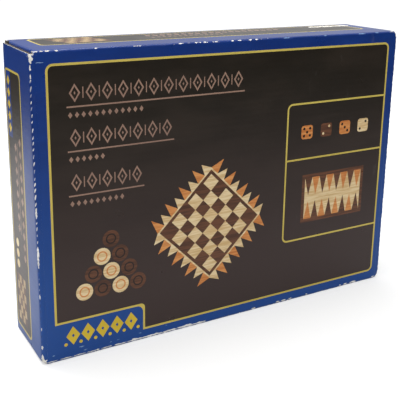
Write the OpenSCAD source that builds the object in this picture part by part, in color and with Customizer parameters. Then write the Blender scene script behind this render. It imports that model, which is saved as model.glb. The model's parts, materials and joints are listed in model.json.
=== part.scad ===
// Games compendium box: a tuck-end carton of corrugated board that stands on its long edge
// and holds a folding wooden case for chess, draughts and backgammon, with its pieces.
//
// Frame: the origin is the middle of the base, +X runs to the right, +Y to the back, +Z up.
// The printed front is at -Y. The ends fold from the front panel and tuck in behind the
// back panel. The case stands in the carton with its hinges up. All sizes are millimetres.

/* [Carton] */
// Length of the carton over its closed ends
box_w = 234; // [210:1:260]
// Depth of the carton from front to back
box_d = 48; // [47:0.5:60]
// Height of the carton as it stands
box_h = 166; // [155:1:190]
// Thickness of the corrugated board
board_t = 1.5; // [1.2:0.1:1.8]
// Outside radius of a folded edge
fold_r = 1; // [0.6:0.1:1.4]
// Width of the glue flap under the top panel
glue_w = 17; // [12:1:20]
// How far each end of the glue flap is cut back
glue_inset = 14; // [8:1:20]
// Radius of the thumb notches in the back panel
notch_r = 11; // [8:0.5:14]

/* [End flaps] */
// How much lower and higher the carton is than its end flap, at each edge
flap_drop = 1.2; // [1:0.1:2]
// Gap from an end flap to the panel ends that it covers
end_gap = 0.3; // [0.2:0.05:0.6]
// Length of the tuck flap
tuck_len = 13; // [9:0.5:14]
// Angle at which the tucked flap leans in from the back panel
tuck_lean = 5; // [4:0.5:7]
// Angle that the tuck flap folds further in as the end swings open
tuck_fold = 15; // [10:1:25]
// Gap from the tuck flap's fold to the back panel
tuck_gap = 0.6; // [0.4:0.05:1]
// How far each end of the tuck flap is cut back at its fold
tuck_inset = 3; // [2:0.5:6]
// How much more it is cut back at its tip
tuck_taper = 8; // [4:0.5:12]
// Corner radius of the tuck flap's tip
tuck_r = 5; // [2:0.5:6]
// Length of a dust flap
dust_len = 33; // [24:1:40]
// Length of a dust flap's straight edge beside the fold
dust_step = 2.5; // [1:0.5:3]
// Rise of a dust flap's slanted front edge, for each millimetre across
dust_slope = 1.65; // [1.2:0.05:1.7]
// Gap from a dust flap to the front panel and to the tuck flap
dust_gap = 0.3; // [0.2:0.05:0.8]
// Corner radius of a dust flap's tip
dust_r = 4; // [2:0.5:6]

/* [Case] */
// Gap from the case to each dust flap
case_end_gap = 0.7; // [0.3:0.1:1.5]
// Gap from the case to the front panel, where the leaflet stands
case_front_gap = 0.5; // [0.4:0.1:1]
// Gap from the case to the tuck flaps behind it
case_back_gap = 0.4; // [0.3:0.1:1]
// Gap from the case to the glue flap above it
case_top_gap = 0.5; // [0.3:0.1:1]
// Thickness of the veneers on the outside
veneer_t = 0.6; // [0.4:0.1:1]
// Thickness of the board under them
panel_t = 2.9; // [2:0.1:4]
// Thickness of the veneers on the inside
lining_t = 0.4; // [0.3:0.1:0.8]
// Width of the frame's rails
rail_w = 7; // [6:0.5:9]
// Width of the margin at each side of the squares
field_margin = 13; // [8:0.5:18]
// Glue line between two veneers
glue_line = 0.1; // [0.05:0.01:0.2]
// Inside width of the tray along the opening edge
tray_w = 22; // [21:0.5:26]
// Thickness of the divider over the tray
divider_t = 5; // [4:0.5:8]
// Length of a backgammon point
point_len = 84; // [60:1:95]

/* [Hinges and magnets] */
// Distance of each hinge from the middle
hinge_x = 60; // [40:1:85]
// Length of a hinge
hinge_len = 30; // [20:1:40]
// Width of a hinge leaf
leaf_w = 6; // [5:0.5:6]
// Thickness of a hinge leaf
leaf_t = 0.8; // [0.6:0.1:1.2]
// Radius of a hinge's barrel
barrel_r = 1.25; // [1.1:0.05:1.4]
// Radius of a hinge's pin
pin_r = 0.6; // [0.5:0.05:0.7]
// Running clearance round a hinge's pin and between its knuckles
hinge_gap = 0.05; // [0.03:0.01:0.1]
// Number of knuckles in a hinge
knuckles = 5; // [3:2:7]
// Radius of a hinge screw's shank
screw_r = 0.9; // [0.7:0.1:1.1]
// Radius of a hinge screw's head
screw_head_r = 1.7; // [1.4:0.1:1.9]
// Length of a hinge screw
screw_len = 7; // [5:0.5:9]
// Distance of each screw from the middle of its hinge
screw_x = 10; // [6:0.5:12]
// Distance of each magnet from the middle
magnet_x = 45; // [20:1:90]
// Radius of a magnet
magnet_r = 2.5; // [2:0.1:2.8]
// Thickness of a magnet
magnet_t = 2; // [1:0.1:3]
// Clearance round a magnet or a screw
seat_gap = 0.03; // [0.02:0.01:0.06]

/* [Pieces] */
// Diameter of a stone
stone_d = 19; // [16:0.5:20]
// Thickness of a stone
stone_t = 5.5; // [4.5:0.1:5.8]
// Number of stones of each colour
stones = 15; // [12:1:15]
// Edge of a die
die_w = 10; // [8:0.5:11]
// Share of a square that a pawn's base covers
pawn_base = 0.48; // [0.4:0.01:0.5]
// Height of a pawn
pawn_h = 25; // [20:0.5:28]
// Share of a square that a rook's, knight's or bishop's base covers
officer_base = 0.52; // [0.44:0.01:0.53]
// Height of a rook
rook_h = 27; // [24:0.5:32]
// Height of a knight
knight_h = 32; // [28:0.5:36]
// Height of a bishop
bishop_h = 36; // [32:0.5:40]
// Share of a square that the queen's base covers
queen_base = 0.54; // [0.46:0.01:0.56]
// Height of a queen
queen_h = 42; // [38:0.5:44]
// Share of a square that the king's base covers
king_base = 0.56; // [0.5:0.01:0.58]
// Height of a king
king_h = 47; // [44:0.5:52]
// Gap between two pieces that stand or lie side by side
piece_gap = 0.3; // [0.2:0.05:0.4]
// Length of the folded rules leaflet
leaflet_w = 148; // [100:1:200]
// Height of the folded rules leaflet
leaflet_h = 105; // [80:1:140]
// Thickness of the folded rules leaflet
leaflet_t = 0.3; // [0.2:0.05:0.35]

/* [Hidden] */
$fn = 48;

// Colours
print_blue = "#22386f";
raw_board = "#d8cbb0";
walnut = "#6a4128";
birch = "#d9bd8e";
maple = "#e3c795";
rosewood = "#5a2f1d";
brass = "#c9a24e";
steel = "#b8bcc0";
ivory = "#efe8d6";
boxwood = "#dcb877";
ebony = "#33241d";
paper_white = "#f2efe8";

// Carton: the panels end just inside the end flaps, and only the front panel reaches them
half_w = box_w / 2;
half_d = box_d / 2;
panel_end = half_w - board_t - end_gap;
in_front = -half_d + board_t;
in_back = half_d - board_t;
in_top = box_h - board_t;
flap_h = box_h - 2 * flap_drop;
tuck_y = in_back - tuck_gap;
tuck_relief = board_t / tan((90 - tuck_lean - tuck_fold) / 2) + 0.1;
tuck_inner_y = tuck_y - tuck_len * sin(tuck_lean) - board_t * cos(tuck_lean);
dust_front = in_front + dust_gap;
dust_back = tuck_inner_y - dust_gap;

// Case: it stands on the bottom panel, between the dust flaps and in front of the tuck flaps
case_x = panel_end - board_t - case_end_gap;
case_front = in_front + case_front_gap;
case_back = tuck_inner_y - case_back_gap;
parting = (case_front + case_back) / 2;
case_floor = board_t;
case_top = in_top - board_t - case_top_gap;
board_in = case_front + veneer_t + panel_t;
lining_in = board_in + lining_t;
inner_x = case_x - rail_w;
square_w = (2 * case_x - 2 * field_margin) / 8;
tray_floor = case_floor + rail_w;
tray_roof = tray_floor + tray_w;
shelf = tray_roof + divider_t;
field_top = case_top - rail_w;
point_w = (field_top - shelf) / 6;

// Pieces: the chessmen stand on the dividers in one row for each colour, tallest in the middle
PAWN = 0;
ROOK = 1;
KNIGHT = 2;
BISHOP = 3;
QUEEN = 4;
KING = 5;
row = [PAWN, PAWN, PAWN, PAWN, ROOK, KNIGHT, BISHOP, QUEEN,
       KING, BISHOP, KNIGHT, ROOK, PAWN, PAWN, PAWN, PAWN];
pawn_d = pawn_base * square_w;
officer_d = officer_base * square_w;
queen_d = queen_base * square_w;
king_d = king_base * square_w;
base_d = [pawn_d, officer_d, officer_d, officer_d, queen_d, king_d];
function width_before(i) = i == 0 ? 0 : width_before(i - 1) + base_d[row[i - 1]] + piece_gap;
row_w = width_before(len(row)) - piece_gap;
function man_x(i) = width_before(i) + base_d[row[i]] / 2 - row_w / 2;
row_offset = (king_d + piece_gap) / 2;
stone_pitch = stone_t + piece_gap / 3;
stone_z = tray_floor + stone_d / 2 + piece_gap / 2;

// ---------------------------------------------------------------- helpers

// Draws a (y, z) outline from x0 to x1
module along_x(x0, x1) {
    translate([x0, 0, 0]) rotate([90, 0, 90]) linear_extrude(x1 - x0) children();
}

// Draws an (x, z) outline from y0 to y1
module along_y(y0, y1) {
    translate([0, y1, 0]) rotate([90, 0, 0]) linear_extrude(y1 - y0) children();
}

// Places what is drawn for the right end at the left (-1) or right (1) end
module at_end(side) {
    mirror([side < 0 ? 1 : 0, 0, 0]) children();
}

// Places what is drawn for the top at the bottom (-1) or top (1)
module at_level(level) {
    if (level > 0) children();
    else translate([0, 0, box_h]) mirror([0, 0, 1]) children();
}

// Places what is drawn for the front half of the case in its back half
module in_back_half() {
    translate([0, 2 * parting, 0]) mirror([0, 1, 0]) children();
}

// A box from its lowest to its highest corner
module block(low, high) {
    translate(low) cube(high - low);
}

// Points along an arc, for a rounded corner of a polygon
function arc(centre, r, from, to, steps = 6) =
    [for (i = [0:steps]) let (a = from + (to - from) * i / steps)
        centre + r * [cos(a), sin(a)]];

// ---------------------------------------------------------------- carton

// Outside of the sleeve in (y, z): three folded corners, and a cut edge at the top of the back
module sleeve_outside() {
    translate([-half_d, fold_r]) square([box_d, box_h - 2 * fold_r]);
    translate([fold_r - half_d, 0]) square([box_d - 2 * fold_r, box_h]);
    for (corner = [[fold_r - half_d, fold_r], [half_d - fold_r, fold_r],
                   [fold_r - half_d, box_h - fold_r]])
        translate(corner) circle(fold_r);
    translate([half_d - 2 * fold_r, box_h - 2 * fold_r]) square(2 * fold_r);
}

// The front panel runs on to its fold with the end flap, where both are mitred
module front_lip() {
    translate([0, 0, flap_drop])
        linear_extrude(flap_h)
            polygon([[panel_end - board_t, -half_d], [half_w, -half_d],
                     [half_w - board_t, in_front], [panel_end - board_t, in_front]]);
}

// What is cut from the inner edge of the top panel to mitre its fold with a dust flap
module dust_fold_cut() {
    along_y(dust_front - dust_gap, dust_back + dust_gap)
        polygon([[panel_end, box_h], [panel_end + end_gap, box_h],
                 [panel_end + end_gap, in_top - dust_gap], [panel_end - board_t, in_top - dust_gap],
                 [panel_end - board_t, in_top]]);
}

module carton_sleeve() {
    color(print_blue) difference() {
        union() {
            along_x(-panel_end, panel_end) difference() {
                sleeve_outside();
                translate([in_front, board_t]) square([in_back - in_front, in_top - board_t]);
            }
            for (side = [-1, 1]) at_end(side) front_lip();
        }
        for (side = [-1, 1], level = [-1, 1]) at_end(side) at_level(level) dust_fold_cut();
        for (side = [-1, 1])
            translate([side * panel_end, in_back - board_t, box_h / 2])
                rotate([-90, 0, 0]) cylinder(h = 3 * board_t, r = notch_r);
    }
}

// Glued under the top panel, it closes the sleeve at the top of the back
module carton_glue_flap() {
    color(raw_board)
        translate([0, 0, in_top - board_t])
            linear_extrude(board_t)
                polygon([[glue_inset - panel_end, in_back], [panel_end - glue_inset, in_back],
                         [panel_end - glue_inset - glue_w, in_back - glue_w],
                         [glue_inset + glue_w - panel_end, in_back - glue_w]]);
}

// One end of the carton, folded from the front panel
module end_flap(side) {
    color(print_blue) at_end(side)
        translate([0, 0, flap_drop])
            linear_extrude(flap_h)
                polygon([[half_w, -half_d], [half_w, tuck_y],
                         [half_w - board_t, tuck_y - tuck_relief],
                         [half_w - board_t, in_front]]);
}

// Outline of a tuck flap in (length, z)
module tuck_outline() {
    tip = tuck_inset + tuck_taper;
    polygon(concat(
        [[0, tuck_inset]],
        arc([tuck_len - tuck_r, tip + tuck_r], tuck_r, -90, 0),
        arc([tuck_len - tuck_r, box_h - tip - tuck_r], tuck_r, 0, 90),
        [[0, box_h - tuck_inset]]
    ));
}

// The tongue on the far edge of an end flap, tucked in behind the back panel
module tuck_flap(side) {
    color(print_blue) at_end(side)
        translate([half_w, tuck_y, 0]) rotate([0, 0, tuck_lean]) mirror([1, 0, 0])
            intersection() {
                along_y(-board_t, 0) tuck_outline();
                linear_extrude(box_h)
                    polygon([[0, 0], [tuck_len, 0], [tuck_len, -board_t], [tuck_relief, -board_t]]);
            }
}

// Outline of a dust flap in (y, z): its front edge slants to stay clear of the end flap
module dust_outline() {
    tip = box_h - dust_len;
    slant_y = dust_front + (dust_len - dust_step) / dust_slope;
    polygon(concat(
        [[dust_front, box_h], [dust_front, box_h - dust_step], [slant_y, tip]],
        arc([dust_back - dust_r, tip + dust_r], dust_r, -90, 0),
        [[dust_back, box_h]]
    ));
}

// A flap inside an end flap, folded from the top or the bottom panel
module dust_flap(side, level) {
    color(print_blue) at_end(side) at_level(level)
        intersection() {
            along_x(panel_end - board_t, panel_end) dust_outline();
            along_y(-half_d, half_d)
                polygon([[panel_end, box_h], [panel_end, box_h - dust_len],
                         [panel_end - board_t, box_h - dust_len], [panel_end - board_t, in_top]]);
        }
}

// ---------------------------------------------------------------- case, drawn as its front half

// The plywood that the veneers are glued to
module panel_board() {
    color(birch)
        block([-case_x, case_front + veneer_t, case_floor], [case_x, board_in, case_top]);
}

// The plain veneer round the squares: both sides and a broad band at the opening edge
module margin_veneer() {
    field = 4 * square_w + glue_line / 2;
    color(walnut) difference() {
        block([-case_x, case_front, case_floor], [case_x, case_front + veneer_t, case_top]);
        block([-field, case_front - veneer_t, case_top - field],
              [field, case_front + 2 * veneer_t, case_top + veneer_t]);
    }
}

// Half of the squares of a half board, which starts at the hinge edge
module squares(parity, tone) {
    color(tone)
        for (column = [0:7], rank = [0:3])
            if ((column + rank) % 2 == parity)
                translate([(column - 4) * square_w + glue_line / 2, case_front,
                           case_top - (rank + 1) * square_w + glue_line / 2])
                    cube([square_w - glue_line, veneer_t, square_w - glue_line]);
}

// A rail at the left (-1) or right (1) of the frame, from corner to corner
module side_rail(side) {
    color(walnut) at_end(side)
        block([inner_x, board_in, case_floor], [case_x, parting, case_top]);
}

// The rail that carries the hinges, mortised for their leaves, barrels and screws
module hinge_rail() {
    color(walnut) difference() {
        block([-inner_x, board_in, field_top], [inner_x, parting, case_top]);
        for (side = [-1, 1]) translate([side * hinge_x, 0, 0]) {
            block([-hinge_len / 2 - hinge_gap, parting - leaf_t, case_top - leaf_w - hinge_gap],
                  [hinge_len / 2 + hinge_gap, parting + leaf_t, case_top + leaf_t]);
            translate([0, parting, case_top]) rotate([0, 90, 0])
                cylinder(h = hinge_len + 2 * hinge_gap, r = barrel_r + 3 * hinge_gap, center = true);
            at_screws() cylinder(h = screw_len + seat_gap, r = screw_r + seat_gap);
        }
    }
}

// The rail along the opening edge, drilled for its magnets
module edge_rail() {
    color(walnut) difference() {
        block([-inner_x, board_in, case_floor], [inner_x, parting, tray_floor]);
        at_magnets() cylinder(h = 2 * magnet_t, r = magnet_r + seat_gap, center = true);
    }
}

// The rail over the tray, which is the shelf that the chessmen stand on
module tray_divider() {
    color(walnut) block([-inner_x, board_in, tray_roof], [inner_x, parting, shelf]);
}

// Backgammon points of one colour, in (x, z): six from each side, by turns light and dark
module points(parity) {
    for (side = [-1, 1], i = [0:5])
        if ((i + (side < 0 ? 0 : 1)) % 2 == parity)
            translate([0, shelf + i * point_w])
                polygon([[side * inner_x, glue_line / 2], [side * inner_x, point_w - glue_line / 2],
                         [side * (inner_x - point_len), point_w / 2]]);
}

module field_lining() {
    color(birch)
        along_y(board_in, lining_in) difference() {
            translate([-inner_x, shelf]) square([2 * inner_x, field_top - shelf]);
            for (parity = [0, 1]) points(parity);
        }
}

module point_inlays(parity, tone) {
    color(tone) along_y(board_in, lining_in) points(parity);
}

// ---------------------------------------------------------------- hinges and magnets

// Screw axes of a front leaf, from the middle of its hinge, pointing into the rail
module at_screws() {
    for (x = [-screw_x, screw_x])
        translate([x, parting, case_top - leaf_w / 2 - barrel_r / 2]) rotate([90, 0, 0]) children();
}

// Magnet axes in the front edge rail, from the parting plane into the wood
module at_magnets() {
    for (side = [-1, 1])
        translate([side * magnet_x, parting, (case_floor + tray_floor) / 2])
            rotate([90, 0, 0]) children();
}

// One leaf of both hinges. Its own knuckles are those with the given parity.
module hinge_leaves(parity) {
    pitch = hinge_len / knuckles;
    leaf_top = case_top - barrel_r - 3 * hinge_gap;
    color(brass)
        for (side = [-1, 1]) translate([side * hinge_x, 0, 0]) difference() {
            union() {
                block([-hinge_len / 2, parting - leaf_t + hinge_gap, case_top - leaf_w],
                      [hinge_len / 2, parting - hinge_gap / 2, leaf_top]);
                for (i = [0:knuckles - 1]) if (i % 2 == parity)
                    translate([(i - knuckles / 2) * pitch + hinge_gap, 0, 0]) {
                        block([0, parting - leaf_t + hinge_gap, leaf_top - leaf_t],
                              [pitch - 2 * hinge_gap, parting - hinge_gap / 2, case_top]);
                        translate([0, parting, case_top]) rotate([0, 90, 0])
                            cylinder(h = pitch - 2 * hinge_gap, r = barrel_r);
                    }
            }
            translate([0, parting, case_top]) rotate([0, 90, 0])
                cylinder(h = 2 * hinge_len, r = pin_r + hinge_gap, center = true);
            at_screws() translate([0, 0, -leaf_t]) {
                cylinder(h = 3 * leaf_t, r = screw_r + seat_gap);
                cylinder(h = 1.5 * leaf_t, r = screw_head_r + seat_gap);
            }
        }
}

module hinge_pins() {
    color(brass)
        for (side = [-1, 1])
            translate([side * hinge_x, parting, case_top]) rotate([0, 90, 0])
                cylinder(h = hinge_len, r = pin_r, center = true);
}

// Two screws through each leaf: the heads lie in the leaf and the shanks in the rail
module front_hinge_screws() {
    for (side = [-1, 1]) translate([side * hinge_x, 0, 0]) at_screws() {
        translate([0, 0, leaf_t / 4]) cylinder(h = leaf_t / 4, r = screw_head_r);
        translate([0, 0, leaf_t / 4]) cylinder(h = screw_len - leaf_t / 4, r = screw_r);
    }
}

module hinge_screws() {
    color(brass) {
        front_hinge_screws();
        in_back_half() front_hinge_screws();
    }
}

module magnets() {
    color(steel) at_magnets() cylinder(h = magnet_t - seat_gap, r = magnet_r);
}

// ---------------------------------------------------------------- pieces

// A turned piece from its base radius, height and a profile of [radius share, height share]
module turned(r, h, profile) {
    rotate_extrude() polygon(concat([[0, 0]], [for (p = profile) [p[0] * r, p[1] * h]]));
}

// Foot and body that all chessmen share, up to the collar at a share of the height
function stem(collar) = [
    [1, 0], [1, 0.07], [0.86, 0.11], [0.78, 0.17], [0.5, 0.27], [0.4, collar - 0.1],
    [0.44, collar - 0.04], [0.66, collar - 0.02], [0.66, collar + 0.02]
];

module pawn() {
    turned(pawn_d / 2, pawn_h, concat(stem(0.62), [[0.36, 0.66], [0, 0.7]]));
    translate([0, 0, 0.8 * pawn_h]) sphere(0.2 * pawn_h);
}

module rook() {
    difference() {
        turned(officer_d / 2, rook_h,
               concat(stem(0.68), [[0.5, 0.72], [0.56, 0.78], [0.7, 0.8], [0.7, 1], [0, 1]]));
        translate([0, 0, 0.88 * rook_h]) cylinder(h = rook_h, r = 0.22 * officer_d);
        for (a = [0, 90]) rotate([0, 0, a])
            translate([-officer_d, -0.06 * officer_d, 0.91 * rook_h])
                cube([2 * officer_d, 0.12 * officer_d, rook_h]);
    }
}

// The horse's head is a flat outline with a thinner muzzle, on a turned foot
module knight() {
    r = officer_d / 2;
    turned(r, knight_h, [[1, 0], [1, 0.06], [0.86, 0.1], [0.82, 0.16], [0.7, 0.24], [0, 0.24]]);
    intersection() {
        along_y(-0.42 * r, 0.42 * r) scale([r, knight_h])
            polygon([[-0.62, 0.23], [0.62, 0.23], [0.5, 0.36], [0.3, 0.5], [0.52, 0.6], [0.86, 0.58],
                     [0.95, 0.66], [0.86, 0.74], [0.4, 0.88], [0.26, 0.9], [0.16, 1], [0, 0.92],
                     [-0.34, 0.86], [-0.62, 0.7], [-0.7, 0.5]]);
        cylinder(h = knight_h, r = 0.96 * r);
    }
}

module bishop() {
    difference() {
        union() {
            turned(officer_d / 2, bishop_h,
                   concat(stem(0.64), [[0.36, 0.68], [0.5, 0.76], [0.46, 0.84], [0.16, 0.94], [0, 0.94]]));
            translate([0, 0, 0.95 * bishop_h]) sphere(0.05 * bishop_h);
        }
        translate([0.1 * officer_d, -officer_d / 2, 0.84 * bishop_h]) rotate([0, -30, 0])
            cube([0.05 * officer_d, officer_d, bishop_h]);
    }
}

module queen() {
    turned(queen_d / 2, queen_h,
           concat(stem(0.66), [[0.34, 0.7], [0.42, 0.8], [0.62, 0.92], [0.5, 0.94], [0.16, 0.95], [0, 0.95]]));
    translate([0, 0, 0.96 * queen_h]) sphere(0.04 * queen_h);
}

module king() {
    arm = 0.05 * king_d;
    turned(king_d / 2, king_h,
           concat(stem(0.64), [[0.34, 0.68], [0.42, 0.76], [0.56, 0.86], [0.3, 0.89], [0, 0.89]]));
    block([-arm, -arm, 0.87 * king_h], [arm, arm, king_h]);
    block([-3 * arm, -arm, 0.93 * king_h], [3 * arm, arm, 0.96 * king_h]);
}

module chessman(kind) {
    if (kind == PAWN) pawn();
    if (kind == ROOK) rook();
    if (kind == KNIGHT) knight();
    if (kind == BISHOP) bishop();
    if (kind == QUEEN) queen();
    if (kind == KING) king();
}

// All the men of one kind in a row: the light row stands in the front half of the case
module men(kind, light) {
    color(light ? boxwood : ebony)
        for (i = [0:len(row) - 1]) if (row[i] == kind)
            translate([man_x(i), parting + (light ? -1 : 1) * row_offset, shelf]) chessman(kind);
}

// One stone, lying on edge along X, with a dished ring on each face
module stone() {
    r = stone_d / 2;
    rotate([0, 90, 0]) rotate_extrude() polygon([
        [0, 0], [0.5 * r, 0], [0.62 * r, 0.08 * stone_t], [0.78 * r, 0.08 * stone_t], [0.88 * r, 0],
        [0.97 * r, 0], [r, 0.12 * stone_t], [r, 0.88 * stone_t], [0.97 * r, stone_t],
        [0.88 * r, stone_t], [0.78 * r, 0.92 * stone_t], [0.62 * r, 0.92 * stone_t],
        [0.5 * r, stone_t], [0, stone_t]
    ]);
}

// A run of stones in the tray, after those already there
module stone_row(before, tone) {
    color(tone)
        for (i = [before:before + stones - 1])
            translate([piece_gap - inner_x + i * stone_pitch, parting, stone_z]) stone();
}

// Pips of one face, from a grid of thirds
module pips(count) {
    step = 0.27 * die_w;
    spots = [
        [[0, 0]],
        [[-1, -1], [1, 1]],
        [[-1, -1], [0, 0], [1, 1]],
        [[-1, -1], [-1, 1], [1, -1], [1, 1]],
        [[-1, -1], [-1, 1], [0, 0], [1, -1], [1, 1]],
        [[-1, -1], [-1, 0], [-1, 1], [1, -1], [1, 0], [1, 1]]
    ];
    for (spot = spots[count - 1])
        translate([spot[0] * step, spot[1] * step, 0.56 * die_w]) sphere(0.11 * die_w);
}

// A die with rounded corners and sunk pips
module die() {
    difference() {
        intersection() {
            cube(die_w, center = true);
            sphere(0.73 * die_w);
        }
        pips(1);
        rotate([180, 0, 0]) pips(6);
        rotate([90, 0, 0]) pips(2);
        rotate([-90, 0, 0]) pips(5);
        rotate([0, 90, 0]) pips(3);
        rotate([0, -90, 0]) pips(4);
    }
}

// A pair of dice side by side at the end of the tray
module dice() {
    color(ivory)
        for (side = [-1, 1])
            translate([inner_x - piece_gap - die_w / 2, parting + side * (die_w + piece_gap) / 2,
                       tray_floor + die_w / 2])
                die();
}

// A folded sheet that stands between the case and the front panel
module rules_leaflet() {
    color(paper_white)
        block([-leaflet_w / 2, case_front - leaflet_t, case_floor],
              [leaflet_w / 2, case_front, case_floor + leaflet_h]);
}

// ---------------------------------------------------------------- nodes

carton_sleeve();
carton_glue_flap();
end_flap(-1);  // left_end_flap
tuck_flap(-1);  // left_tuck_flap
dust_flap(-1, 1);  // left_top_dust_flap
dust_flap(-1, -1);  // left_bottom_dust_flap
end_flap(1);  // right_end_flap
tuck_flap(1);  // right_tuck_flap
dust_flap(1, 1);  // right_top_dust_flap
dust_flap(1, -1);  // right_bottom_dust_flap
panel_board();  // front_panel_board
margin_veneer();  // front_margin_veneer
squares(0, maple);  // front_light_squares
squares(1, rosewood);  // front_dark_squares
side_rail(-1);  // front_left_rail
side_rail(1);  // front_right_rail
hinge_rail();  // front_hinge_rail
edge_rail();  // front_edge_rail
tray_divider();  // front_tray_divider
field_lining();  // front_field_lining
point_inlays(0, maple);  // front_light_points
point_inlays(1, rosewood);  // front_dark_points
in_back_half() panel_board();  // back_panel_board
in_back_half() margin_veneer();  // back_margin_veneer
in_back_half() squares(1, maple);  // back_light_squares
in_back_half() squares(0, rosewood);  // back_dark_squares
in_back_half() side_rail(-1);  // back_left_rail
in_back_half() side_rail(1);  // back_right_rail
in_back_half() hinge_rail();  // back_hinge_rail
in_back_half() edge_rail();  // back_edge_rail
in_back_half() tray_divider();  // back_tray_divider
in_back_half() field_lining();  // back_field_lining
in_back_half() point_inlays(1, maple);  // back_light_points
in_back_half() point_inlays(0, rosewood);  // back_dark_points
hinge_leaves(0);  // hinge_front_leaves
in_back_half() hinge_leaves(1);  // hinge_back_leaves
hinge_pins();
hinge_screws();
magnets();  // front_magnets
in_back_half() magnets();  // back_magnets
stone_row(0, boxwood);  // light_stones
stone_row(stones, ebony);  // dark_stones
dice();
rules_leaflet();
men(PAWN, true);  // light_pawns
men(ROOK, true);  // light_rooks
men(KNIGHT, true);  // light_knights
men(BISHOP, true);  // light_bishops
men(QUEEN, true);  // light_queen
men(KING, true);  // light_king
men(PAWN, false);  // dark_pawns
men(ROOK, false);  // dark_rooks
men(KNIGHT, false);  // dark_knights
men(BISHOP, false);  // dark_bishops
men(QUEEN, false);  // dark_queen
men(KING, false);  // dark_king
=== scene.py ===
"""Dresses the games compendium box: printed board folded round a wooden case, on a white floor.

Lengths are in millimetres up to the last step of each mesh, which scales them to metres.
"""
import json
import math

import bmesh
import bpy
import numpy as np
from mathutils import Euler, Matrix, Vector, noise
from mathutils.geometry import delaunay_2d_cdt

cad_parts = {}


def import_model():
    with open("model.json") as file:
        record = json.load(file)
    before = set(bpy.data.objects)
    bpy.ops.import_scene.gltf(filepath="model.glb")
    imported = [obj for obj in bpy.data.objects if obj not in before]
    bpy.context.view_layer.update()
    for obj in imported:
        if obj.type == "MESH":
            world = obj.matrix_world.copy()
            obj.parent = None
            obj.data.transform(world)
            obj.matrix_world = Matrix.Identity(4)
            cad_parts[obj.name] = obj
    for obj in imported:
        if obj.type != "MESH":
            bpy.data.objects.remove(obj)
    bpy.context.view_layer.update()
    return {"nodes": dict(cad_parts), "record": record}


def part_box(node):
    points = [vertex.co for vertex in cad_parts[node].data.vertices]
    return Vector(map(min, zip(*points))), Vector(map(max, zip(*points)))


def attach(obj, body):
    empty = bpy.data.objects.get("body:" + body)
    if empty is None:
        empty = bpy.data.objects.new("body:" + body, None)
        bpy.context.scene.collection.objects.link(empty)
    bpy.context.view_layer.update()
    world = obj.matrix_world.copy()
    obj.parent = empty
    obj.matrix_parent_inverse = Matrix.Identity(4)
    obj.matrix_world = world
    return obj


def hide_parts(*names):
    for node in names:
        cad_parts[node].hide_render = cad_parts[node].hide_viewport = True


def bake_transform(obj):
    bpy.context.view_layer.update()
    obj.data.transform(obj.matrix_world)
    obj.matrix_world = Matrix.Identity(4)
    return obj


MM = 0.001

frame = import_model()

# -------------------- sizes taken from the frame


def box_mm(node):
    """Lowest and highest corner of a CAD node, in millimetres."""
    low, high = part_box(node)
    return low / MM, high / MM


SLEEVE = box_mm("carton_sleeve")
END = box_mm("right_end_flap")
TUCK = box_mm("right_tuck_flap")
DUST = box_mm("right_top_dust_flap")

# The carton's half length, half depth and height, and where its top, bottom and back end
HALF_W, HALF_D, HEIGHT = SLEEVE[1]
PANEL_END = DUST[1].x

# The board's thickness and the pitch of its flutes, and the radius of a thumb notch
BOARD = DUST[1].x - DUST[0].x
FLUTE = 3.4
NOTCH_R = 11

# The flaps: how far an end stands short of the top, and the tongue and the dust flaps in it
DROP = END[0].z
TUCK_Y = END[1].y
TUCK_LEAN = math.radians(5)
TUCK_LEN = (HALF_W - TUCK[0].x) / math.cos(TUCK_LEAN)
TUCK_INSET = TUCK[0].z
TUCK_TAPER = 8
TUCK_R = 5
DUST_Y = (DUST[0].y, DUST[1].y)
DUST_LEN = DUST[1].z - DUST[0].z
DUST_STEP = 2.5
DUST_SLOPE = 1.65
DUST_R = 4

# Radii of the folds, and how far from a fold the next piece of the sheet starts
FOLD_R = 1.0
CREASE_R = 0.7
END_STRIP = 3.0
CREASE_STRIP = 1.2

# What board at an inner corner is squeezed to, and the shortest edge that a sheet's mesh keeps
SQUEEZE = 0.1
LEAST_EDGE = 0.02

# Gap between the top panel's cut edge and the back panel that it meets
SEAM = 0.05

# How far the front corners are knocked in, and how far from a corner that is felt
BLUNT = 0.7
BLUNT_REACH = 5.0

# How deep use crushes the upright folds: everywhere, at each flute and in rough spots
CRUSH, CRUSH_FLUTE, CRUSH_ROUGH = 0.1, 0.16, 0.3

# The share of that which goes into the end and into the front, and the depth at level folds
CRUSH_END, CRUSH_FRONT = 0.8, 0.6
CRUSH_LEVEL = 0.28

# Points up to this height stay on the floor
FLOOR_BAND = 0.2


# -------------------- folded sheets


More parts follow.
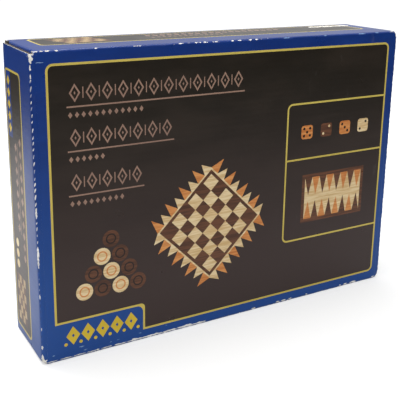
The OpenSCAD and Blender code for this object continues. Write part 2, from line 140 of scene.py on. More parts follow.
class Fold:
    """A section through folded board: straight runs with a round at each corner.

    A place along it is measured over the sharp corners, as the print is laid out.
    """

    def __init__(self, corners, radius):
        self.corners = [np.array(c, float) for c in corners]
        steps = [b - a for a, b in zip(self.corners, self.corners[1:])]
        self.lengths = [np.linalg.norm(s) for s in steps]
        self.dirs = [s / n for s, n in zip(steps, self.lengths)]
        self.starts = np.concatenate([[0], np.cumsum(self.lengths)])
        turn = self.dirs[0][0] * self.dirs[1][1] - self.dirs[0][1] * self.dirs[1][0]
        self.side = 1 if turn > 0 else -1
        self.radius = radius

    def normal(self, i):
        """Direction out of the printed side of run i."""
        d = self.dirs[i]
        return self.side * np.array([d[1], -d[0]])

    def half_turn(self, i):
        """Half of the angle at corner i, between runs i - 1 and i."""
        return math.acos(np.clip(self.dirs[i - 1] @ self.dirs[i], -1, 1)) / 2

    def outer(self, s):
        """The printed side, with a round at each corner."""
        for i in range(1, len(self.dirs)):
            half = self.half_turn(i)
            setback = self.radius * math.tan(half)
            off = s - self.starts[i]
            if abs(off) < setback:
                mid = self.normal(i - 1) + self.normal(i)
                mid = mid / np.linalg.norm(mid)
                centre = self.corners[i] - mid * self.radius / math.cos(half)
                a = off / setback * half
                along = np.array([-mid[1], mid[0]]) * self.side
                return centre + self.radius * (mid * math.cos(a) + along * math.sin(a))
        i = self.run(s)
        return self.corners[i] + self.dirs[i] * (s - self.starts[i])

    def run(self, s):
        """Index of the straight run that holds a place along the section."""
        last = len(self.dirs) - 1
        return min(last, max(0, int(np.searchsorted(self.starts, s, side="right")) - 1))

    def inner(self, s):
        """The unprinted side, one board thickness in. Board is squeezed together at inner corners."""
        i = self.run(s)
        before, after = s - self.starts[i], self.starts[i + 1] - s
        along = before
        if i > 0 and before < (lead := BOARD * math.tan(self.half_turn(i))) + SQUEEZE:
            along = lead + SQUEEZE * before / (lead + SQUEEZE)
        if i < len(self.dirs) - 1 and after < (lead := BOARD * math.tan(self.half_turn(i + 1))) + SQUEEZE:
            along = self.lengths[i] - lead - SQUEEZE * after / (lead + SQUEEZE)
        return self.corners[i] + self.dirs[i] * along - self.normal(i) * BOARD


def rounded(points, radii, steps=6):
    """A polygon with its corners rounded. Each radius may be 0."""
    out = []
    n = len(points)
    pts = [np.array(p, float) for p in points]
    for i in range(n):
        p, r = pts[i], radii[i]
        a, b = pts[i - 1] - p, pts[(i + 1) % n] - p
        a, b = a / np.linalg.norm(a), b / np.linalg.norm(b)
        if r <= 0:
            out.append(tuple(p))
            continue
        half = math.acos(np.clip(a @ b, -1, 1)) / 2
        mid = (a + b) / np.linalg.norm(a + b)
        centre = p + mid * r / math.sin(half)
        start = p + a * r / math.tan(half) - centre
        end = p + b * r / math.tan(half) - centre
        sweep = math.atan2(start[0] * end[1] - start[1] * end[0], start @ end)
        for k in range(steps + 1):
            t = sweep * k / steps
            c, s = math.cos(t), math.sin(t)
            out.append((centre[0] + start[0] * c - start[1] * s, centre[1] + start[0] * s + start[1] * c))
    return out


def grown(points, by):
    """A polygon with each edge moved out by a distance. Its points run anticlockwise."""
    n = len(points)
    pts = [np.array(p, float) for p in points]
    out = []
    for i in range(n):
        a, b = pts[i] - pts[i - 1], pts[(i + 1) % n] - pts[i]
        a, b = a / np.linalg.norm(a), b / np.linalg.norm(b)
        na, nb = np.array([a[1], -a[0]]), np.array([b[1], -b[0]])
        out.append(tuple(pts[i] + by * (na + nb) / (1 + na @ nb)))
    return out


def anticlockwise(points):
    """The same polygon, with its points in the order that the triangulation needs."""
    area = sum(x0 * y1 - x1 * y0 for (x0, y0), (x1, y1) in zip(points, points[1:] + points[:1]))
    return points if area > 0 else points[::-1]


def inside(points, polygon):
    """Which points lie in a polygon."""
    x, y = points[:, 0], points[:, 1]
    hit = np.zeros(len(points), bool)
    for (x0, y0), (x1, y1) in zip(polygon, polygon[1:] + polygon[:1]):
        if y0 == y1:
            continue
        crosses = (y0 > y) != (y1 > y)
        hit ^= crosses & (x < (x1 - x0) * (y - y0) / (y1 - y0) + x0)
    return hit


def ticks(low, high, step, fine=()):
    """Even places from low to high, and finer ones in the (start, end, step) stretches."""
    places = list(np.linspace(low, high, max(2, round((high - low) / step) + 1))[1:-1])
    for start, end, small in fine:
        places = [p for p in places if not start - small < p < end + small]
        places += list(np.linspace(start, end, max(2, round((end - start) / small) + 1)))
    return sorted(p for p in places if low < p < high)


def worn(p):
    """A point of the carton, pushed in a little along the folds, as use leaves it."""
    x, y, z = p
    to_end, to_front = HALF_W - abs(x), HALF_D + y

    # Upright folds between the front and the ends
    at_end = max(to_end, to_front)
    if at_end < END_STRIP:
        fade = (1 - at_end / END_STRIP) ** 2
        wave = 0.5 + 0.5 * math.sin(2 * math.pi * z / FLUTE)
        rough = noise.noise(Vector((x * 0.01, 7.1, z * 0.16))) + 0.5
        push = fade * (CRUSH + CRUSH_FLUTE * wave + CRUSH_ROUGH * max(0, rough))
        x -= math.copysign(push * CRUSH_END, x)
        y += push * CRUSH_FRONT

    # Level folds. Points on the floor keep their height, so that the carton stands on them
    to_level = min(z, HEIGHT - z)
    at_level = max(to_level, HALF_D - abs(y))
    if at_level < END_STRIP:
        fade = (1 - at_level / END_STRIP) ** 2
        rough = noise.noise(Vector((x * 0.12, y * 0.05, z * 0.02))) + 0.45
        push = fade * CRUSH_LEVEL * max(0, rough)
        y -= math.copysign(push, y)
        if z > HEIGHT / 2:
            z -= push
        elif z > FLOOR_BAND:
            z += push

    # Front corners
    to_corner = math.hypot(to_end, to_front, to_level)
    if to_corner < BLUNT_REACH:
        fade = (1 - to_corner / BLUNT_REACH) ** 2
        x -= math.copysign(fade * BLUNT, x)
        y += fade * BLUNT
        z += fade * BLUNT * (1 if z < HEIGHT / 2 else -1)
    return x, y, z


# The print and board materials by key, which make_inks fills in
INKS = {}


def ink_slot(obj, key):
    """Index of a print material on a mesh, added on first use."""
    names = [m.name for m in obj.data.materials]
    material = INKS[key]
    if material.name not in names:
        obj.data.materials.append(material)
        return len(names)
    return names.index(material.name)


def flat_sheet(layers, grid):
    """The sheet before it is folded: its points, its triangles and the ink on each of them.

    The first of the (ink, polygon) layers is the whole sheet, and later ones print over it.
    """
    points, faces = [], []
    for _, polygon in layers:
        first = len(points)
        points += [Vector(p) for p in anticlockwise(polygon)]
        faces.append(list(range(first, len(points))))
    points += [Vector(p) for p in grid]
    flat, _, tris, _, _, origins = delaunay_2d_cdt(points, [], faces, 1, LEAST_EDGE)
    kept = [(tri, layers[max(origin)][0]) for tri, origin in zip(tris, origins) if 0 in origin]
    return flat, [tri for tri, _ in kept], [ink for _, ink in kept]


def keep_vectors(obj, name, vectors):
    """Stores a vector at each vertex of a mesh, for its materials to read."""
    layer = obj.data.attributes.new(name, "FLOAT_VECTOR", "POINT")
    layer.data.foreach_set("vector", vectors.astype(np.float32).ravel())


def sheet_piece(name, fold, place, outline, prints, u_ticks, s_ticks, flutes_along_u):
    """A closed shell of board: printed outside, plain inside, with raw edges.

    outline and prints are polygons in (u, s). u runs along the folds and s across them, and
    place turns u and a point of the section into a point in space.
    """
    grid = np.array([(u, s) for u in u_ticks for s in s_ticks])
    grid = grid[inside(grid, [tuple(p) for p in outline])]
    layers = [("blue", outline)] + prints
    flat, tris, inks = flat_sheet(layers, grid)
    outer = [worn(place(u, fold.outer(s))) for u, s in flat]
    inner = [worn(place(u, fold.inner(s))) for u, s in flat]
    count = len(flat)
    edges = dict.fromkeys(edge for tri in tris for edge in zip(tri, tri[1:] + tri[:1]))
    rims = [(a, b) for a, b in edges if (b, a) not in edges]

    obj = new_object(name)
    slots = {key: ink_slot(obj, key) for key, _ in layers}
    plain, raw = ink_slot(obj, "inside"), ink_slot(obj, "raw_edge")
    faces = [tuple(tri) for tri in tris]
    faces += [tuple(count + i for i in reversed(tri)) for tri in tris]
    faces += [(b, a, count + a, count + b) for a, b in rims]
    mats = [slots[ink] for ink in inks] + [plain] * len(tris) + [raw] * len(rims)
    vertices = np.array(outer + inner) * MM
    obj.data.from_pydata([tuple(v) for v in vertices], [], faces)
    obj.data.polygons.foreach_set("material_index", mats)

    rows = [(s, u, depth) if flutes_along_u else (u, s, depth) for depth in (0, BOARD) for u, s in flat]
    keep_vectors(obj, "rest", vertices)
    keep_vectors(obj, "flute", np.array(rows) * MM)
    tidy(obj)
    return obj


def new_object(name):
    obj = bpy.data.objects.new(name, bpy.data.meshes.new(name))
    bpy.context.scene.collection.objects.link(obj)
    return obj


def tidy(obj, sharp=math.radians(32)):
    """Drops loose points, turns all faces outwards and keeps only real corners sharp."""
    bm = bmesh.new()
    bm.from_mesh(obj.data)
    bmesh.ops.delete(bm, geom=[v for v in bm.verts if not v.link_faces], context="VERTS")
    bmesh.ops.recalc_face_normals(bm, faces=bm.faces)
    for face in bm.faces:
        face.smooth = True
    for edge in bm.edges:
        edge.smooth = len(edge.link_faces) == 2 and edge.calc_face_angle(0) < sharp
    bm.to_mesh(obj.data)
    bm.free()


# -------------------- node helpers


class Nodes:
    """Short calls that build one material's nodes."""

    def __init__(self, name, sky=False):
        self.material = bpy.data.worlds.new(name) if sky else bpy.data.materials.new(name)
        self.material.use_nodes = True
        self.tree = self.material.node_tree
        self.tree.nodes.clear()
        self.out = self.new("ShaderNodeOutputWorld" if sky else "ShaderNodeOutputMaterial")

    def new(self, kind, **values):
        node = self.tree.nodes.new(kind)
        for key, value in values.items():
            setattr(node, key, value)
        return node

    def plug(self, socket, value):
        if isinstance(value, bpy.types.NodeSocket):
            self.tree.links.new(value, socket)
        elif value is not None:
            socket.default_value = value

    def math(self, op, a, b=None, c=None, clamp=False):
        node = self.new("ShaderNodeMath", operation=op, use_clamp=clamp)
        for socket, value in zip(node.inputs, (a, b, c)):
            self.plug(socket, value)
        return node.outputs[0]

    def ramp(self, value, low, high, to_low=0.0, to_high=1.0):
        node = self.new("ShaderNodeMapRange", clamp=True)
        node.interpolation_type = "SMOOTHSTEP"
        for socket, v in zip(node.inputs, (value, low, high, to_low, to_high)):
            self.plug(socket, v)
        return node.outputs[0]

    def mix(self, fac, a, b):
        """A blend of two colours, whose sockets are 6, 7 and 2 on this node."""
        node = self.new("ShaderNodeMix", data_type="RGBA")
        self.plug(node.inputs["Factor"], fac)
        self.plug(node.inputs[6], a)
        self.plug(node.inputs[7], b)
        return node.outputs[2]

    def noise(self, vector, scale, detail=3.0, rough=0.5):
        node = self.new("ShaderNodeTexNoise")
        self.plug(node.inputs["Vector"], vector)
        node.inputs["Scale"].default_value = scale
        node.inputs["Detail"].default_value = detail
        node.inputs["Roughness"].default_value = rough
        return node.outputs["Fac"]

    def scaled(self, vector, by):
        node = self.new("ShaderNodeVectorMath", operation="MULTIPLY")
        self.plug(node.inputs[0], vector)
        node.inputs[1].default_value = by
        return node.outputs[0]

    def attribute(self, name):
        return self.new("ShaderNodeAttribute", attribute_name=name).outputs["Vector"]

    def coord(self, kind="Object"):
        return self.new("ShaderNodeTexCoord").outputs[kind]

    def axes(self, vector):
        node = self.new("ShaderNodeSeparateXYZ")
        self.plug(node.inputs[0], vector)
        return node.outputs

    def bump(self, height, distance, strength, normal=None):
        node = self.new("ShaderNodeBump")
        node.inputs["Strength"].default_value = strength
        node.inputs["Distance"].default_value = distance
        self.plug(node.inputs["Height"], height)
        if normal is not None:
            self.plug(node.inputs["Normal"], normal)
        return node.outputs[0]

    def surface(self, color, rough, normal, **fixed):
        node = self.new("ShaderNodeBsdfPrincipled")
        self.plug(node.inputs["Base Color"], color)
        self.plug(node.inputs["Roughness"], rough)
        self.plug(node.inputs["Normal"], normal)
        for key, value in fixed.items():
            node.inputs[key.replace("_", " ")].default_value = value
        self.tree.links.new(node.outputs[0], self.out.inputs[0])
        return self.material


def rgb(r, g, b):
    """An sRGB colour, from 0 to 255, as Blender's linear colour."""
    def linear(v):
        v /= 255
        return v / 12.92 if v <= 0.04045 else ((v + 0.055) / 1.055) ** 2.4
    return (linear(r), linear(g), linear(b), 1.0)


# -------------------- board materials

PAPER_WHITE = rgb(236, 232, 224)
# Painted shade that darkens the furrows between the cracks of a fold
CRACK_SHADE_TONE = rgb(4, 10, 34)
LINER_DARK = rgb(176, 158, 130)
LINER_LIGHT = rgb(203, 188, 162)

# Radians of the flutes' wave in one metre
FLUTE_PHASE = 2 * math.pi / (FLUTE * MM)


def flute_wave(n, along):
    """A wave at the pitch of the board's flutes."""
    return n.math("SINE", n.math("MULTIPLY", along, FLUTE_PHASE))


def edge_wear_and_fold_highlight(n):
    """Where print is off along the folds, with a painted highlight line along each upright fold, and the
    painted shade in the furrows between the cracks, from 0 to 1.
    """
    rest = n.attribute("rest")
    x, y, z = n.axes(rest)
    to_end = n.math("SUBTRACT", HALF_W * MM, n.math("ABSOLUTE", x))
    to_front = n.math("ADD", y, HALF_D * MM)
    to_back = n.math("SUBTRACT", HALF_D * MM, y)
    to_face = n.math("MINIMUM", to_front, to_back)
    to_level = n.math("MINIMUM", z, n.math("SUBTRACT", HEIGHT * MM, z))

    # Upright folds crack across every flute of the board, a little aslant, and carry a painted highlight: a
    # thin pale line along the whole fold
    along = n.math("MULTIPLY", z, FLUTE_PHASE)
    jitter = n.noise(n.scaled(rest, (0.2, 0.2, 1)), 120, 3, 0.6)
    slant = n.math("MULTIPLY", n.math("SUBTRACT", to_front, to_end), 2200)
    dash = n.math("SINE", n.math("ADD", n.math("MULTIPLY_ADD", jitter, 9.0, along), slant))
    upright = n.math("MAXIMUM", to_end, to_face)
    patchy = n.noise(n.scaled(rest, (0.3, 0.3, 1)), 55, 4, 0.75)
    reach = n.ramp(n.math("MULTIPLY_ADD", patchy, 4.0, dash), 1.0, 3.3, 0.0, 0.85 * MM)
    reach = n.math("MULTIPLY", reach, n.ramp(z, 0.015, 0.1, 0.4, 1.0))
    # Painted highlight: this least reach keeps a thin pale line along the whole fold
    reach = n.math("MAXIMUM", reach, n.ramp(patchy, 0.3, 0.6, 0.06 * MM, 0.26 * MM))
    faint = n.ramp(n.noise(rest, 330, 2), 0.36, 0.56, 0.4, 1.0)
    # The cracks here include that painted highlight line
    cracks = n.ramp(n.math("SUBTRACT", reach, upright), -0.12 * MM, 0.12 * MM)
    cracks = n.math("MULTIPLY", cracks, faint)
    # Painted shade: the furrows between the cracks, near an upright fold, are darkened
    near_fold = n.ramp(upright, 0.3 * MM, 0.9 * MM, 0.55, 0.0)
    crack_shade = n.math("MULTIPLY", n.ramp(dash, -0.35, -0.9), near_fold)

    # Level folds lose small chips here and there
    level = n.math("MAXIMUM", to_face, to_level)
    spots = n.noise(rest, 420, 3, 0.65)
    stretches = n.noise(n.scaled(rest, (1, 0.2, 0.2)), 42, 2)
    likely = n.math("MULTIPLY", n.ramp(spots, 0.48, 0.64), n.ramp(stretches, 0.4, 0.62, 0.1, 1.0))
    lost = n.math("MULTIPLY", likely, 0.9 * MM)
    chips = n.ramp(n.math("SUBTRACT", lost, level), -0.1 * MM, 0.1 * MM)

    # Corners wear through, most of all at the left end
    corner = n.math("MAXIMUM", n.math("MAXIMUM", to_end, to_face), to_level)
    spared = n.ramp(x, 0.0, 0.1, -1.4 * MM, -2.6 * MM)
    rub = n.math("MULTIPLY_ADD", n.noise(rest, 420, 3, 0.7), 7.5 * MM, spared)
    corners = n.ramp(n.math("SUBTRACT", rub, corner), -0.3 * MM, 0.3 * MM)
    return n.math("MAXIMUM", n.math("MAXIMUM", cracks, chips), corners), crack_shade


def print_ink(key, tone, second, low=None, rough=0.3, grain=0.0):
    """Gloss-varnished ink on fluted board, worn to white paper along the folds, with a painted highlight
    line along the upright folds and painted shade between their cracks.

    The ink clouds between tone and second. low is what it drifts to towards the foot of the carton, a
    painted reflection of the white floor (in the field ink partly the print's own gradient), and grain is
    how strongly it pictures the lines of wood.
    """
    n = Nodes("print_" + key)
    rest = n.attribute("rest")
    wear_and_fold_highlight, crack_shade = edge_wear_and_fold_highlight(n)
    cloud = n.noise(n.scaled(rest, (1, 1, 3)), 22, 4)
    tint = n.ramp(cloud, 0.35, 0.65)
    if grain:
        lines = n.noise(n.scaled(rest, (0.07, 1, 1)), 900, 3, 0.6)
        tint = n.math("MULTIPLY_ADD", n.ramp(lines, 0.35, 0.65), grain, n.math("MULTIPLY", tint, 1 - grain))
    color = n.mix(tint, tone, second)
    # Painted reflection of the white floor: lighter towards the foot
    if low:
        color = n.mix(n.ramp(n.axes(rest)[2], 0.9 * HEIGHT * MM, 0.2 * HEIGHT * MM), color, low)
    scuff = n.ramp(n.noise(n.scaled(rest, (1, 1, 0.25)), 130, 4, 0.7), 0.64, 0.8, 0, 0.35)
    color = n.mix(n.math("MULTIPLY", scuff, 0.12), color, PAPER_WHITE)
    # Painted shade in the furrows between the cracks
    color = n.mix(crack_shade, color, CRACK_SHADE_TONE)
    # Wear, and the painted highlight line along the upright folds, in paper white
    color = n.mix(wear_and_fold_highlight, color, PAPER_WHITE)
    ripple = flute_wave(n, n.axes(n.attribute("flute"))[0])
    dents = n.noise(rest, 38, 2)
    height = n.math("MULTIPLY_ADD", ripple, 0.035, dents)
    normal = n.bump(height, 0.25 * MM, 0.6)
    fibre = n.math("MULTIPLY", n.noise(rest, 1500, 2), 0.12)
    normal = n.bump(n.math("MULTIPLY_ADD", wear_and_fold_highlight, -1.0, fibre), 0.12 * MM, 0.6, normal)
    gloss = n.math("MULTIPLY_ADD", n.noise(rest, 70, 3), 0.12, rough - 0.06)
    gloss = n.math("MULTIPLY_ADD", scuff, 0.3, gloss)
    gloss = n.math("MULTIPLY_ADD", wear_and_fold_highlight, 0.5, gloss, clamp=True)
    INKS[key] = n.surface(color, gloss, normal)


def board_inside():
    """The unprinted liner: grey-brown recycled paper with fibres."""
    n = Nodes("board_inside")
    rest = n.attribute("rest")
    fibre = n.noise(n.scaled(rest, (0.25, 1, 1)), 900, 4, 0.7)
    color = n.mix(n.ramp(fibre, 0.3, 0.7), LINER_DARK, LINER_LIGHT)
    ripple = flute_wave(n, n.axes(n.attribute("flute"))[0])
    normal = n.bump(n.math("MULTIPLY_ADD", ripple, 0.3, fibre), 0.15 * MM, 0.7)
    INKS["inside"] = n.surface(color, 0.9, normal)


def board_edge():
    """A cut edge: a white and a grey liner, with painted shade in the flutes' hollows between them."""
    n = Nodes("board_raw_edge")
    across, _, depth = n.axes(n.attribute("flute"))
    middle = n.math("MULTIPLY_ADD", flute_wave(n, across), 0.3 * BOARD * MM, 0.5 * BOARD * MM)
    off = n.math("ABSOLUTE", n.math("SUBTRACT", depth, middle))
    shaded_hollow = n.ramp(off, 0.1 * MM, 0.2 * MM)
    rim = n.math("MINIMUM", depth, n.math("SUBTRACT", BOARD * MM, depth))
    shaded_hollow = n.math("MULTIPLY", shaded_hollow, n.ramp(rim, 0.18 * MM, 0.32 * MM))
    fibre = n.noise(n.attribute("rest"), 1400, 3, 0.7)
    grey = n.mix(fibre, rgb(84, 73, 57), rgb(122, 110, 90))
    white = n.mix(fibre, rgb(214, 208, 194), PAPER_WHITE)
    paper = n.mix(n.ramp(depth, 0.28 * MM, 0.4 * MM), white, grey)
    # Painted shade: the flutes' hollows are darkened nearly to black
    color = n.mix(n.math("MULTIPLY", shaded_hollow, 0.95), paper, rgb(34, 27, 20))
    normal = n.bump(n.math("MULTIPLY_ADD", shaded_hollow, -1.0, fibre), 0.2 * MM, 0.8)
    INKS["raw_edge"] = n.surface(color, 0.95, normal)


def make_inks():
    """Every ink of the print, and the board's bare side and cut edge."""
    # The blue's low tone is a painted reflection of the floor; the field's is partly that and partly the
    # print's own gradient
    print_ink("blue", rgb(4, 44, 116), rgb(6, 52, 128), low=rgb(10, 68, 142))
    print_ink("field", rgb(34, 28, 20), rgb(46, 38, 30), low=rgb(57, 43, 40))
    print_ink("gold", rgb(223, 193, 54), rgb(211, 180, 47))
    print_ink("line", rgb(209, 188, 90), rgb(199, 177, 81))
    print_ink("cream", rgb(220, 192, 132), rgb(232, 212, 162))
    print_ink("copper", rgb(159, 127, 109), rgb(145, 115, 100))
    print_ink("maple", rgb(204, 168, 112), rgb(234, 212, 168), grain=0.8)
    print_ink("oak", rgb(160, 130, 86), rgb(190, 164, 118), grain=0.8)
    print_ink("walnut", rgb(112, 70, 46), rgb(74, 45, 30), grain=0.8)
    print_ink("amber", rgb(190, 112, 50), rgb(220, 150, 84), grain=0.8)
    print_ink("ebony", rgb(24, 17, 14), rgb(34, 24, 20))
    print_ink("paper", rgb(244, 242, 238), rgb(230, 226, 216), rough=0.8)
    print_ink("rubbed", rgb(104, 138, 182), rgb(130, 156, 190), rough=0.6)
    board_inside()
    board_edge()


# -------------------- the print, in (x, z) of the front

# The front's keyline: its width, its sides, its step over the tab and the radius of its corners
LINE = 1.2
KEY_L, KEY_R, KEY_TOP, KEY_BOTTOM = -108.7, 109.9, 158.8, 6.8
TAB_X, TAB_Z = -58.0, 21.9
CORNER = 3.2

# The two cells at the right
CELL_L, CELL_TOP, CELL_MID, CELL_BOTTOM = 35.5, 126.2, 92.0, 40.4

# Frames of the other panels: half their length, how far in front of the middle line those of the
# top and bottom end, and the gap that a frame leaves to the panel's edge
FRAME_X = 105.6
FRAME_FRONT = 6.8
TOP_BORDER = 4.0
BACK_BORDER = 8


def rect(x0, z0, x1, z1):
    return [(x0, z0), (x1, z0), (x1, z1), (x0, z1)]


def lozenge(x, z, half_x, half_z):
    return [(x - half_x, z), (x, z - half_z), (x + half_x, z), (x, z + half_z)]


def disc(x, z, r, steps=20):
    return [(x + r * math.cos(2 * math.pi * i / steps), z + r * math.sin(2 * math.pi * i / steps))
            for i in range(steps)]


def turned(polygon, x, z, angle):
    """A polygon turned about its own origin and moved to (x, z)."""
    c, s = math.cos(angle), math.sin(angle)
    return [(x + px * c - pz * s, z + px * s + pz * c) for px, pz in polygon]


def keyline():
    """The gold frame of the front, which steps up over a blue tab at the lower left."""
    path = [(KEY_L, TAB_Z), (TAB_X, TAB_Z), (TAB_X, KEY_BOTTOM), (KEY_R, KEY_BOTTOM),
            (KEY_R, KEY_TOP), (KEY_L, KEY_TOP)]
    radii = np.array([0, CORNER, 0, CORNER, CORNER, CORNER])
    bulge = np.array([1, 1, -1, 1, 1, 1]) * LINE / 2
    bulge[0] = 0
    outer = rounded(grown(path, LINE / 2), np.maximum(radii + bulge, 0))
    inner = rounded(grown(path, -LINE / 2), np.maximum(radii - bulge, 0))
    return [("line", outer), ("field", inner)]


def cells():
    """Two framed cells at the right, which share the frame's right line."""
    g = LINE / 2 - 0.05
    right = KEY_R - LINE / 2
    around = rect(CELL_L - g, CELL_BOTTOM - g, right, CELL_TOP + g)
    outline = rounded(around, [CORNER + g, 0, 0, CORNER + g])
    upper = rounded(rect(CELL_L + g, CELL_MID + g, right, CELL_TOP - g), [0, 0, 0, CORNER - g])
    lower = rounded(rect(CELL_L + g, CELL_BOTTOM + g, right, CELL_MID - g), [CORNER - g, 0, 0, 0])
    return [("line", outline), ("field", upper), ("field", lower)]


def heading(left, right, z, big, small_right, small=3.2):
    """A rule with a row of open lozenges over it, and a row of small ones under it."""
    art = [("copper", rect(left, z - 0.4, right, z + 0.4))]
    count = round((right - left) / (big * 0.92))
    pitch = (right - left) / count
    for i in range(count):
        x, mid = left + (i + 0.5) * pitch, z + 2.2 + big / 2
        art.append(("copper", lozenge(x, mid, 0.34 * pitch, big / 2)))
        art.append(("field", lozenge(x, mid, 0.34 * pitch - 1.0, big / 2 - 1.5)))
        art.append(("copper", lozenge(x, mid, 0.5, 0.9)))
        if i:
            bar = x - pitch / 2
            art.append(("copper", rect(bar - 0.3, mid - 0.3 * big, bar + 0.3, mid + 0.3 * big)))
    count = round((small_right - left) / 3.6)
    for i in range(count):
        x = left + (i + 0.5) * (small_right - left) / count
        art.append(("copper", lozenge(x, z - 2.6 - small / 2, 1.15, small / 2)))
    return art


def chequer(x, z, side, count, frame_w, angle=math.pi / 4):
    """A framed chequer, set on its corner unless it is given another angle."""
    art = []
    for tone, grow in (("maple", frame_w + 0.9), ("walnut", frame_w), ("maple", 0)):
        h = side / 2 + grow
        art.append((tone, turned(rect(-h, -h, h, h), x, z, angle)))
    cell = side / count
    for i in range(count):
        for j in range(count):
            if (i + j) % 2:
                a, b = -side / 2 + i * cell, -side / 2 + j * cell
                art.append(("walnut", turned(rect(a, b, a + cell, b + cell), x, z, angle)))
    return art


def sunburst(x, z, side, count, reach):
    """Rows of long points round the four sides of a square that is set on its corner."""
    art = []
    w = side / count
    for quarter in range(4):
        for i in range(count):
            a = -side / 2 + i * w
            tip = reach * (1 if i % 2 else 0.72)
            point = [(a, -side / 2), (a + w / 2, -side / 2 - tip), (a + w, -side / 2)]
            art.append(("amber" if i % 2 else "maple", turned(point, x, z, (quarter + 0.5) * math.pi / 2)))
    return art


def stone(x, z, light, radii):
    """A printed stone, seen from above: its rim, its groove and its middle."""
    rim, groove = ("maple", "amber") if light else ("walnut", "ebony")
    return [(tone, disc(x, z, r)) for tone, r in zip((rim, groove, rim), radii)]


def stone_pyramid(x, z, r, rows):
    """Light and dark stones, set as a triangle that stands on its base."""
    art = []
    for row in range(rows):
        for i in range(rows - row):
            cx = x + (i - (rows - row - 1) / 2) * 2.15 * r
            cz = z + row * 1.9 * r
            art += stone(cx, cz, (i + row) % 2 == 0, (r, 0.62 * r, 0.46 * r))
    return art


def point_panel(x0, z0, x1, z1, count):
    """A framed panel with points that rise and fall by turns."""
    art = [("walnut", rect(x0 - 2.2, z0 - 2.2, x1 + 2.2, z1 + 2.2)), ("maple", rect(x0, z0, x1, z1))]
    w = (x1 - x0) / count
    tip = 0.43 * (z1 - z0)
    for i in range(count):
        a, b = x0 + i * w, x0 + (i + 1) * w
        low, high = ("walnut", "amber") if i % 2 else ("amber", "walnut")
        art.append((low, [(a, z0), (b, z0), ((a + b) / 2, z0 + tip)]))
        art.append((high, [(b, z1), (a, z1), ((a + b) / 2, z1 - tip)]))
    return art


# Where the pips of a die's faces are, in steps from the middle
PIPS = {
    2: [(-1, -1), (1, 1)],
    3: [(-1, 1), (0, 0), (1, -1)],
    5: [(-1, -1), (-1, 1), (0, 0), (1, -1), (1, 1)],
}

# The front's dice, as (x, face, tone, pip tone)
DICE = [(50, 5, "amber", "ebony"), (64.5, 2, "walnut", "maple"), (79, 3, "amber", "ebony"),
        (93.5, 2, "maple", "ebony")]


def dice_row(z, dice, size):
    """Printed dice of one size, side by side."""
    art = []
    for x, face, tone, pip in dice:
        square = rect(x - size / 2, z - size / 2, x + size / 2, z + size / 2)
        art.append((tone, rounded(square, [1.6] * 4, 3)))
        for px, pz in PIPS[face]:
            art.append((pip, disc(x + px * size * 0.26, z + pz * size * 0.26, 0.1 * size, 10)))
    return art


def tab_strip():
    """Solid gold lozenges on the tab, with small discs between them and at both ends."""
    pitch = 8.4
    art = []
    for i in range(5):
        x = -99.5 + i * pitch
        art += [("gold", lozenge(x, 13.4, 3.9, 5.4)), ("blue", lozenge(x, 13.4, 0.8, 1.1))]
    return art + [("gold", disc(-103.7 + i * pitch, 8.9, 1.0, 12)) for i in range(6)]


def front_art():
    """Everything on the front, in paint order, as (ink, polygon in x and z)."""
    art = keyline() + cells()
    art += heading(-99.2, 4.7, 137.4, 9.4, -57.0)
    art += heading(-99.3, -39.6, 114.6, 9.4, -79.0)
    art += heading(-99.4, -57.4, 91.2, 9.4, -68.5)
    art += sunburst(-16.0, 62.0, 47.4, 8, 8.5)
    art += chequer(-16.0, 62.0, 42.0, 6, 1.8)
    art += stone_pyramid(-77.0, 37.0, 4.8, 4)
    art += dice_row(108.5, DICE, 8.4)
    art += point_panel(50.5, 53.0, 94.5, 79.5, 8)
    art += tab_strip()
    return art


def back_art():
    """The back repeats the front's motifs in three panels, as (ink, polygon in x and z)."""
    art = chequer(-52.0, 92.0, 62.0, 8, 3.0, 0)
    art += point_panel(16.0, 62.0, 84.0, 122.0, 12)
    for i in range(9):
        art += stone(-60 + i * 13, 38, i % 2, (5.2, 3.4, 2.4))
    art += heading(-83.0, 84.0, 138.0, 7.0, -60.0)
    return art


def chip(x, s, length, width, ink="paper"):
    """A torn spot where the print is off, or rubbed thin, at (x, s) of a sheet."""
    count = 9 + 2 * int(length)
    points = []
    for i in range(count):
        a = 2 * math.pi * i / count
        r = 0.8 + 0.9 * noise.noise(Vector((x * 0.37 + i * 0.83, s, width)))
        along = (r * 0.4 + 0.6) * length / 2 * math.cos(a)
        across = max(0.15, r) * width / 2 * math.sin(a)
        points.append((x + along, s + across))
    return (ink, points)


# Chips and rubbed spots on the front's top and bottom folds, as (x, length)
TOP_CHIPS = [(-113.6, 2.2), (-110.7, 1.6), (-107.8, 3.0), (-103.2, 2.0), (-83.1, 1.6), (-36.0, 2.4),
             (-26.8, 1.6), (-24.1, 1.1), (-21.2, 2.2), (-14.3, 2.0), (-4.0, 1.8), (0.6, 2.4),
             (7.6, 2.2), (11.6, 1.8)]
TOP_RUBS = [(32.1, 5.0), (60.0, 2.4), (88.1, 6.0), (100.0, 3.0)]
BOTTOM_CHIPS = [(-97.0, 1.4), (-86.0, 2.0), (-74.5, 3.0), (-63.0, 9.0), (-54.0, 12.0), (-42.0, 9.0),
                (-31.5, 12.0), (-21.5, 6.5), (15.9, 3.2), (33.8, 3.0), (38.2, 4.0), (43.4, 2.6), (56.2, 1.8),
                (83.8, 1.6), (88.2, 3.2), (94.5, 6.0), (112.0, 2.5)]

# A thin crack along the bottom fold: the middles of its first and last sliver, and their number
CRACK = (-112.0, -25.0, 12)
CRACK_SLIVER = (7.4, 0.6)

